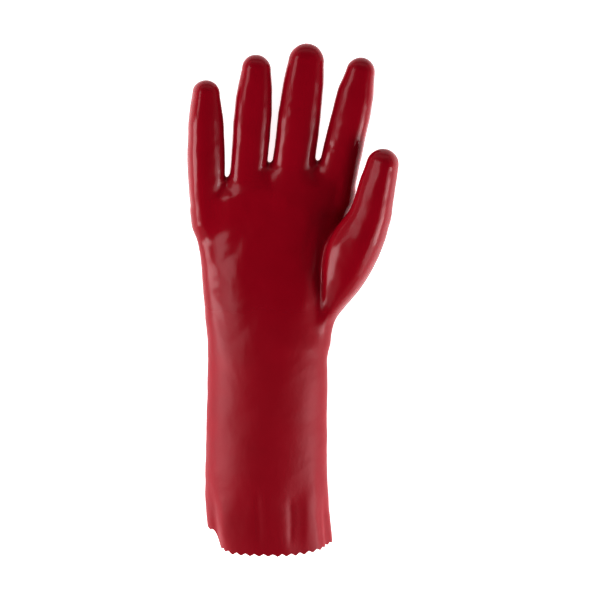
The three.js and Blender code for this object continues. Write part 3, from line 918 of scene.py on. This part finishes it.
@dataclass(frozen=True)
class CottonJersey:
    """Bleached cotton jersey, knitted: off-white, dull and soft, with fine ribs of stitches."""

    colour: str = "E4DCCB"
    shade: str = "C9BFA9"
    # Ribs of stitches are 1.1 mm apart and the rows 0.9 mm.
    rib: float = 1.1

    def material(self) -> bpy.types.Material:
        """Builds the finish."""
        made, tree = empty_material("cotton_jersey")
        place = add_node(tree, "ShaderNodeTexCoord").outputs["Object"]
        ribs = add_node(tree, "ShaderNodeTexWave",
                        {"Scale": 1000.0 / (self.rib * 2.0 * math.pi), "Distortion": 1.2,
                         "Detail": 1.0, "Detail Scale": 2.0}, {"Vector": place})
        tint = add_node(tree, "ShaderNodeMix", {"data_type": "RGBA"}, {0: ribs.outputs["Fac"]})
        tint.inputs[6].default_value = linear(self.shade)
        tint.inputs[7].default_value = linear(self.colour)
        bump = add_node(tree, "ShaderNodeBump", {"Strength": 0.6, "Distance": 0.0003},
                        {"Height": ribs.outputs["Fac"]})
        shader = add_node(tree, "ShaderNodeBsdfPrincipled", {"Roughness": 0.9, "Sheen Weight": 0.25},
                          {"Base Color": tint.outputs[2], "Normal": bump.outputs[0]})
        add_node(tree, "ShaderNodeOutputMaterial", None, {"Surface": shader.outputs[0]})
        return made


@dataclass
class Crease:
    """A soft groove or ridge on the skin, along a line drawn on the glove as seen from above.

    line holds points as X and Y, and height is how far the skin rises there, in millimetres, under
    zero for a groove. spread is its half width. It fades out towards both ends and is only on the
    palm's side of the glove.
    """

    height: float
    spread: float
    line: tuple[tuple[float, float], ...]

    def relief(self, points: Array, slope: Array) -> Array:
        """Height of the crease at points of the skin.

        Args:
            points: The points, an (n, 3) array.
            slope: The way out of the skin at the points.

        Returns:
            Heights in millimetres.
        """
        corners = np.array(self.line)
        lengths = np.linalg.norm(np.diff(corners, axis=0), axis=1)
        runs = np.concatenate([[0.0], np.cumsum(lengths)])
        nearest = np.full(len(points), np.inf)
        along = np.zeros(len(points))
        for a, b, length, run in zip(corners[:-1], corners[1:], lengths, runs[:-1], strict=True):
            way = (b - a) / length
            off = points[:, :2] - a
            t = clamp(off @ way, 0.0, length)
            distance = np.linalg.norm(off - t[:, None] * way, axis=1)
            closer = distance < nearest
            nearest = np.where(closer, distance, nearest)
            along = np.where(closer, run + t, along)
        share = along / runs[-1]
        fade = smooth_step(share, 0.0, 0.3) * (1.0 - smooth_step(share, 0.7, 1.0))
        in_front = smooth_step(slope[:, 2], 0.1, 0.5)
        return self.height * np.exp(-(nearest / self.spread) ** 2) * fade * in_front


@dataclass
class Lumps:
    """Slow uneven waves of the dip, from sums of sines in three directions.

    height is how far they rise and fall, and length their spacing, both in millimetres.
    """

    height: float
    length: float
    turn: float

    def relief(self, points: Array) -> Array:
        """Height of the waves at points of the skin."""
        scale = 2.0 * math.pi / self.length
        x, y, z = (points * scale).T
        cos = math.cos(self.turn)
        sin = math.sin(self.turn)
        u = x * cos + y * sin + 0.4 * z
        v = y * cos - x * sin - 0.3 * z
        wave = np.sin(u + 1.3 * np.sin(0.61 * v + 0.7)) * np.sin(0.83 * v + 1.1 * np.sin(0.47 * u + 2.1))
        return self.height * wave


@dataclass
class Glove:
    """The glove: one skin of PVC outside and cotton jersey inside, with a pinked edge."""

    form: HandForm = field(default_factory=HandForm)
    mouth: PinkedMouth = field(default_factory=PinkedMouth)
    wall: float = 1.5
    # Share of the wall that is PVC; the rest is the knit.
    coating_share: float = 0.6
    # Y between which the coating goes from the cuff's matte to the hand's gloss.
    matte_end: tuple[float, float] = (95.0, 215.0)
    # How far the quilt ends above the deepest cut of the mouth.
    quilt_margin: float = 8.0
    creases: tuple[Crease, ...] = (
        # From the crotches of the fingers down into the palm.
        Crease(-0.30, 2.6, ((-28.5, 255.0), (-30.5, 250.0), (-32.0, 244.0))),
        Crease(-0.20, 2.2, ((-28.5, 254.0), (-25.0, 249.0), (-20.0, 246.0))),
        Crease(-0.28, 2.6, ((1.0, 262.0), (3.0, 255.0), (5.0, 248.0), (6.0, 240.0))),
        Crease(-0.18, 2.2, ((4.0, 262.0), (8.0, 266.0), (10.0, 274.0))),
        Crease(-0.35, 2.6, ((31.5, 263.0), (34.0, 257.0), (39.0, 251.0))),
        # Along the fronts of the fingers and where their lower joints bend.
        Crease(0.22, 2.6, ((-19.0, 318.0), (-17.0, 300.0), (-16.5, 284.0))),
        Crease(0.20, 2.4, ((12.0, 330.0), (9.5, 308.0), (9.0, 292.0), (10.5, 278.0))),
        Crease(-0.25, 2.2, ((14.0, 306.0), (20.0, 304.5), (27.0, 306.0))),
        Crease(-0.25, 2.6, ((9.0, 280.0), (16.0, 277.0), (25.0, 279.0))),
        Crease(-0.22, 2.4, ((-24.0, 283.0), (-16.0, 280.0), (-8.0, 283.0))),
        Crease(-0.25, 2.4, ((-50.0, 277.0), (-42.0, 275.0), (-35.0, 278.0))),
        Crease(-0.25, 2.6, ((40.0, 282.0), (47.0, 277.0), (55.0, 276.0))),
        # Below the knuckles, and the ball of the thumb's own fold.
        Crease(0.35, 6.0, ((-30.0, 236.0), (-20.0, 239.0), (-10.0, 238.0))),
        Crease(0.40, 6.0, ((2.0, 240.0), (10.0, 243.0), (20.0, 240.0))),
        Crease(0.30, 5.0, ((24.0, 236.0), (30.0, 228.0), (34.0, 218.0))),
        Crease(-0.30, 6.0, ((-26.0, 247.0), (-12.0, 250.0), (2.0, 252.0), (18.0, 254.0))),
        Crease(-0.45, 3.2, ((38.0, 232.0), (31.0, 222.0), (27.5, 206.0), (28.5, 190.0))),
        Crease(0.35, 4.0, ((30.0, 196.0), (27.0, 180.0), (26.0, 164.0))),
        Crease(-0.35, 3.0, ((52.0, 262.0), (48.0, 248.0), (46.0, 236.0))),
        # Flutes of the cuff near its mouth.
        Crease(-0.50, 2.0, ((-36.0, 40.0), (-35.5, 18.0), (-35.0, 2.0))),
        Crease(0.45, 3.0, ((-30.0, 44.0), (-29.5, 22.0), (-29.0, 3.0))),
        Crease(-0.55, 2.2, ((-6.0, 52.0), (-5.0, 26.0), (-4.0, 2.0))),
        Crease(0.30, 3.5, ((2.0, 48.0), (2.0, 24.0), (2.5, 3.0))),
        Crease(-0.60, 2.0, ((17.0, 44.0), (17.5, 22.0), (17.5, 2.0))),
        Crease(0.50, 3.0, ((28.5, 46.0), (28.5, 22.0), (28.5, 3.0))),
        Crease(-0.45, 1.8, ((36.5, 36.0), (37.5, 18.0), (38.5, 2.0))),
    )
    lumps: tuple[Lumps, ...] = (
        Lumps(0.20, 34.0, 0.4),
        Lumps(0.06, 15.0, 1.3),
        Lumps(0.022, 7.5, 2.2),
    )

    def relief(self, points: Array, slope: Array) -> Array:
        """Height of the small forms on the skin, in millimetres out of the form.

        Args:
            points: The points, an (n, 3) array.
            slope: The way out of the skin at the points.

        Returns:
            Heights in millimetres.
        """
        height = np.zeros(len(points))
        for crease in self.creases:
            height += crease.relief(points, slope)
        for lumps in self.lumps:
            height += lumps.relief(points)
        return height

    def skin(self) -> tuple[Array, list[list[int]], Array]:
        """The outer skin.

        Returns:
            Its corners, its faces and the numbers of its edge's corners in order.
        """
        trim = self.mouth.little_corner + self.mouth.little_side + self.quilt_margin
        quilt = SkinQuilt(self.form, trim=trim)
        points, faces, at_end = quilt.build()
        LOG.info("skin: %d faces over the hand and cuff", len(faces))
        band = self.mouth.band(self.form, quilt.trim)
        rows, columns, _ = band.shape
        numbers = len(points) + np.arange(rows * columns).reshape(rows, columns)
        points = np.concatenate([points, band.reshape(-1, 3)])
        skin = faces.tolist()
        at = self.form.tube.section(np.array(quilt.trim))
        middle = np.array([at["x"], at["z"]])
        skin += zipped(np.flatnonzero(at_end), numbers[0], points, middle)
        after = np.roll(numbers, -1, axis=1)
        for row in range(rows - 1):
            corners = [numbers[row], after[row], after[row + 1], numbers[row + 1]]
            skin += np.stack(corners, axis=1).tolist()
        return points, skin, numbers[-1]

    def mesh(self) -> bpy.types.Object:
        """Builds the glove's mesh in millimetres, as an object that isn't placed yet."""
        points, skin, edge = self.skin()
        slope = self.form.slope(points)
        out = slope / np.linalg.norm(slope, axis=1)[:, None]
        out[edge, 1] = 0.0
        out[edge] /= np.linalg.norm(out[edge], axis=1)[:, None]
        outer = points + out * self.relief(points, out)[:, None]
        outer[:, 2] = np.maximum(outer[:, 2], 0.0)
        inner = outer - out * self.wall
        resting = outer[:, 2] <= 0.0
        inner[resting] = outer[resting] + np.array([0.0, 0.0, self.wall])
        inner[:, 2] = np.maximum(inner[:, 2], self.wall)
        seam = outer[edge] + (inner[edge] - outer[edge]) * self.coating_share
        first_inner = len(outer)
        first_seam = 2 * len(outer)
        faces = [list(face) for face in skin]
        finish = [Finish.PVC.value] * len(skin)
        faces += [[corner + first_inner for corner in reversed(face)] for face in skin]
        finish += [Finish.JERSEY.value] * len(skin)
        count = len(edge)
        for k in range(count):
            a = int(edge[k])
            b = int(edge[(k + 1) % count])
            c = first_seam + k
            d = first_seam + (k + 1) % count
            faces.append([a, b, d, c])
            faces.append([c, d, b + first_inner, a + first_inner])
            finish += [Finish.PVC.value, Finish.JERSEY.value]
        corners = np.concatenate([outer, inner, seam])
        data = bpy.data.meshes.new("glove_skin")
        data.from_pydata(corners.tolist(), [], faces)
        data.polygons.foreach_set("material_index", finish)
        data.polygons.foreach_set("use_smooth", [True] * len(finish))
        share = 1.0 - smooth_step(corners[:, 1], *self.matte_end)
        data.attributes.new("cuff_share", "FLOAT", "POINT").data.foreach_set("value", share)
        self.sharpen_edge(data, set(edge.tolist()) | {int(k) + first_inner for k in edge})
        data.validate()
        data.update()
        LOG.info("glove: %d corners, %d faces", len(data.vertices), len(data.polygons))
        return bpy.data.objects.new("glove_skin", data)

    @staticmethod
    def sharpen_edge(data: bpy.types.Mesh, corners: set[int]) -> None:
        """Makes the two cut lines round the mouth sharp.

        Args:
            data: The glove's mesh.
            corners: Numbers of the corners on those lines.
        """
        ends = np.empty(2 * len(data.edges), int)
        data.edges.foreach_get("vertices", ends)
        on_line = np.isin(ends, list(corners)).reshape(-1, 2).all(axis=1)
        pairs = ends.reshape(-1, 2)
        along = on_line & (np.abs(pairs[:, 0] - pairs[:, 1]) < len(data.vertices) // 3)
        sharp = data.attributes.new("sharp_edge", "BOOLEAN", "EDGE")
        sharp.data.foreach_set("value", along)

    def build(self) -> Vector:
        """Builds, places and dresses the glove.

        Returns:
            How the shaping frame was moved to the part's frame, in metres.
        """
        glove = self.mesh()
        low, high = (Vector(corner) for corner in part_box("glove"))
        coords = np.empty(3 * len(glove.data.vertices))
        glove.data.vertices.foreach_get("co", coords)
        coords = coords.reshape(-1, 3) * MM
        middle = (coords.min(axis=0) + coords.max(axis=0)) / 2.0
        target = (low + high) / 2.0
        shift = np.array([target.x - middle[0], target.y - middle[1], low.z - coords[:, 2].min()])
        coords += shift
        LOG.info("placed by %s mm", np.round(shift / MM, 2))
        glove.data.vertices.foreach_set("co", coords.reshape(-1))
        glove.data.update()
        glove.data.materials.append(DippedPvc().material())
        glove.data.materials.append(CottonJersey().material())
        bpy.context.scene.collection.objects.link(glove)
        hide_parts("glove")
        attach(glove, "root")
        return Vector(shift)


@dataclass(frozen=True)
class LitTable:
    """A matte white acrylic table lit from below: dull, even and without dark shadows."""

    colour: str = "F4F4F4"
    glow: float = 0.9

    def material(self) -> bpy.types.Material:
        """Builds the finish."""
        made, tree = empty_material("lit_table")
        shader = add_node(tree, "ShaderNodeBsdfPrincipled",
                          {"Base Color": linear(self.colour), "Roughness": 0.95,
                           "Emission Color": linear(self.colour), "Emission Strength": self.glow})
        add_node(tree, "ShaderNodeOutputMaterial", None, {"Surface": shader.outputs[0]})
        return made


@dataclass
class Softbox:
    """A large soft light that faces the glove.

    bearing is its direction from the glove in plan, in degrees from +X towards +Y, and tilt its
    direction off straight up. Sizes and distance are in metres, and power in watts.
    """

    name: str
    bearing: float
    tilt: float
    distance: float
    length: float
    height: float
    power: float

    def build(self, aim: Vector) -> None:
        """Builds the light, aimed at a point."""
        bearing = math.radians(self.bearing)
        tilt = math.radians(self.tilt)
        flat = math.sin(tilt)
        way = Vector((math.cos(bearing) * flat, math.sin(bearing) * flat, math.cos(tilt)))
        data = bpy.data.lights.new(self.name, "AREA")
        data.shape = "RECTANGLE"
        data.size = self.length
        data.size_y = self.height
        data.energy = self.power
        light = bpy.data.objects.new(self.name, data)
        light.visible_camera = False
        # The light's own X lies level and its own Z points away from the glove.
        level = Vector((-math.sin(bearing), math.cos(bearing), 0.0))
        up = way.cross(level)
        turn = Matrix((level, up, way)).transposed().to_4x4()
        light.matrix_world = Matrix.Translation(aim + way * self.distance) @ turn
        bpy.context.scene.collection.objects.link(light)


@dataclass
class Studio:
    """The pale floor, the soft lights, the dim ceiling and the camera."""

    # The picture's 600 pixels cover this width at the glove, and the camera stands this far off it.
    view_width: float = 0.417
    camera_distance: float = 1.05
    camera_tilt: float = 8.0
    # The point at the middle of the picture, in the shaping frame.
    aim: tuple[float, float, float] = (23.6, 172.2, 25.0)
    # Height of the point that the lights face, in metres, and half the floor's side.
    lights_aim: float = 0.02
    half_floor: float = 4.0
    # The glow of the walls at the horizon and of the ceiling, and the heights between them.
    wall_glow: float = 0.45
    ceiling_glow: float = 0.03
    wall_top: float = 0.5
    ceiling_edge: float = 0.8
    # The picture's middle tones are deepened as in a catalogue print.
    gamma: float = 0.8
    softboxes: tuple[Softbox, ...] = (
        Softbox("softbox_left", 206.0, 66.0, 1.4, 0.9, 1.15, 2.2),
        Softbox("softbox_right", -26.0, 66.0, 1.4, 0.9, 1.15, 11.0),
        Softbox("strip_left", 185.0, 70.0, 1.1, 0.4, 0.75, 8.5),
        Softbox("strip_right", -19.0, 74.0, 1.1, 0.4, 0.6, 5.5),
        Softbox("softbox_far_left", 152.0, 44.0, 1.3, 0.6, 0.5, 4.4),
        Softbox("softbox_near", 270.0, 66.0, 1.7, 2.4, 1.0, 2.0),
        Softbox("softbox_far", 90.0, 68.0, 1.7, 2.4, 0.5, 2.0),
    )

    def build(self, shift: Vector) -> None:
        """Builds the studio.

        Args:
            shift: How the shaping frame was moved to the part's frame, in metres.
        """
        aim = Vector(self.aim) * MM + shift
        self.build_camera(aim)
        self.build_floor()
        self.build_world()
        for softbox in self.softboxes:
            softbox.build(Vector((0.0, 0.0, self.lights_aim)))
        scene = bpy.context.scene
        scene.view_settings.view_transform = "Standard"
        scene.view_settings.look = "None"
        scene.view_settings.gamma = self.gamma
        LOG.info("studio: %d softboxes, floor and camera", len(self.softboxes))

    def build_camera(self, aim: Vector) -> None:
        """Builds the camera, which looks down on the palm from a little beyond the fingers."""
        data = bpy.data.cameras.new("camera")
        data.sensor_width = 36.0
        data.lens = 36.0 * self.camera_distance / self.view_width
        camera = bpy.data.objects.new("camera", data)
        tilt = math.radians(self.camera_tilt)
        camera.location = aim + Vector((0.0, math.sin(tilt), math.cos(tilt))) * self.camera_distance
        camera.rotation_euler = (-tilt, 0.0, 0.0)
        bpy.context.scene.collection.objects.link(camera)
        bpy.context.scene.camera = camera

    def build_floor(self) -> None:
        """Builds the floor, a wide pale table that the glove lies on."""
        half = self.half_floor
        data = bpy.data.meshes.new("floor")
        data.from_pydata([(-half, -half, 0), (half, -half, 0), (half, half, 0), (-half, half, 0)], [],
                         [(0, 1, 2, 3)])
        data.materials.append(LitTable().material())
        floor = bpy.data.objects.new("floor", data)
        bpy.context.scene.collection.objects.link(floor)

    def build_world(self) -> None:
        """Builds the surroundings: pale walls at the horizon and a dim ceiling."""
        world = bpy.data.worlds.new("studio_room")
        bpy.context.scene.world = world
        world.use_nodes = True
        tree = world.node_tree
        tree.nodes.clear()
        place = add_node(tree, "ShaderNodeTexCoord").outputs["Generated"]
        height = add_node(tree, "ShaderNodeSeparateXYZ", None, {0: place}).outputs["Z"]
        ramp = add_node(tree, "ShaderNodeMapRange",
                        {"From Min": self.wall_top, "From Max": self.ceiling_edge,
                         "To Min": self.wall_glow, "To Max": self.ceiling_glow}, {"Value": height})
        background = add_node(tree, "ShaderNodeBackground", {"Color": (1.0, 1.0, 1.0, 1.0)},
                              {"Strength": ramp.outputs[0]})
        add_node(tree, "ShaderNodeOutputWorld", None, {"Surface": background.outputs[0]})


def main() -> None:
    """Builds the glove and its studio."""
    logging.basicConfig(level=logging.INFO, format="%(name)s: %(message)s", force=True)
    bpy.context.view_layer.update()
    shift = Glove().build()
    Studio().build(shift)


if __name__ == "__main__":
    main()
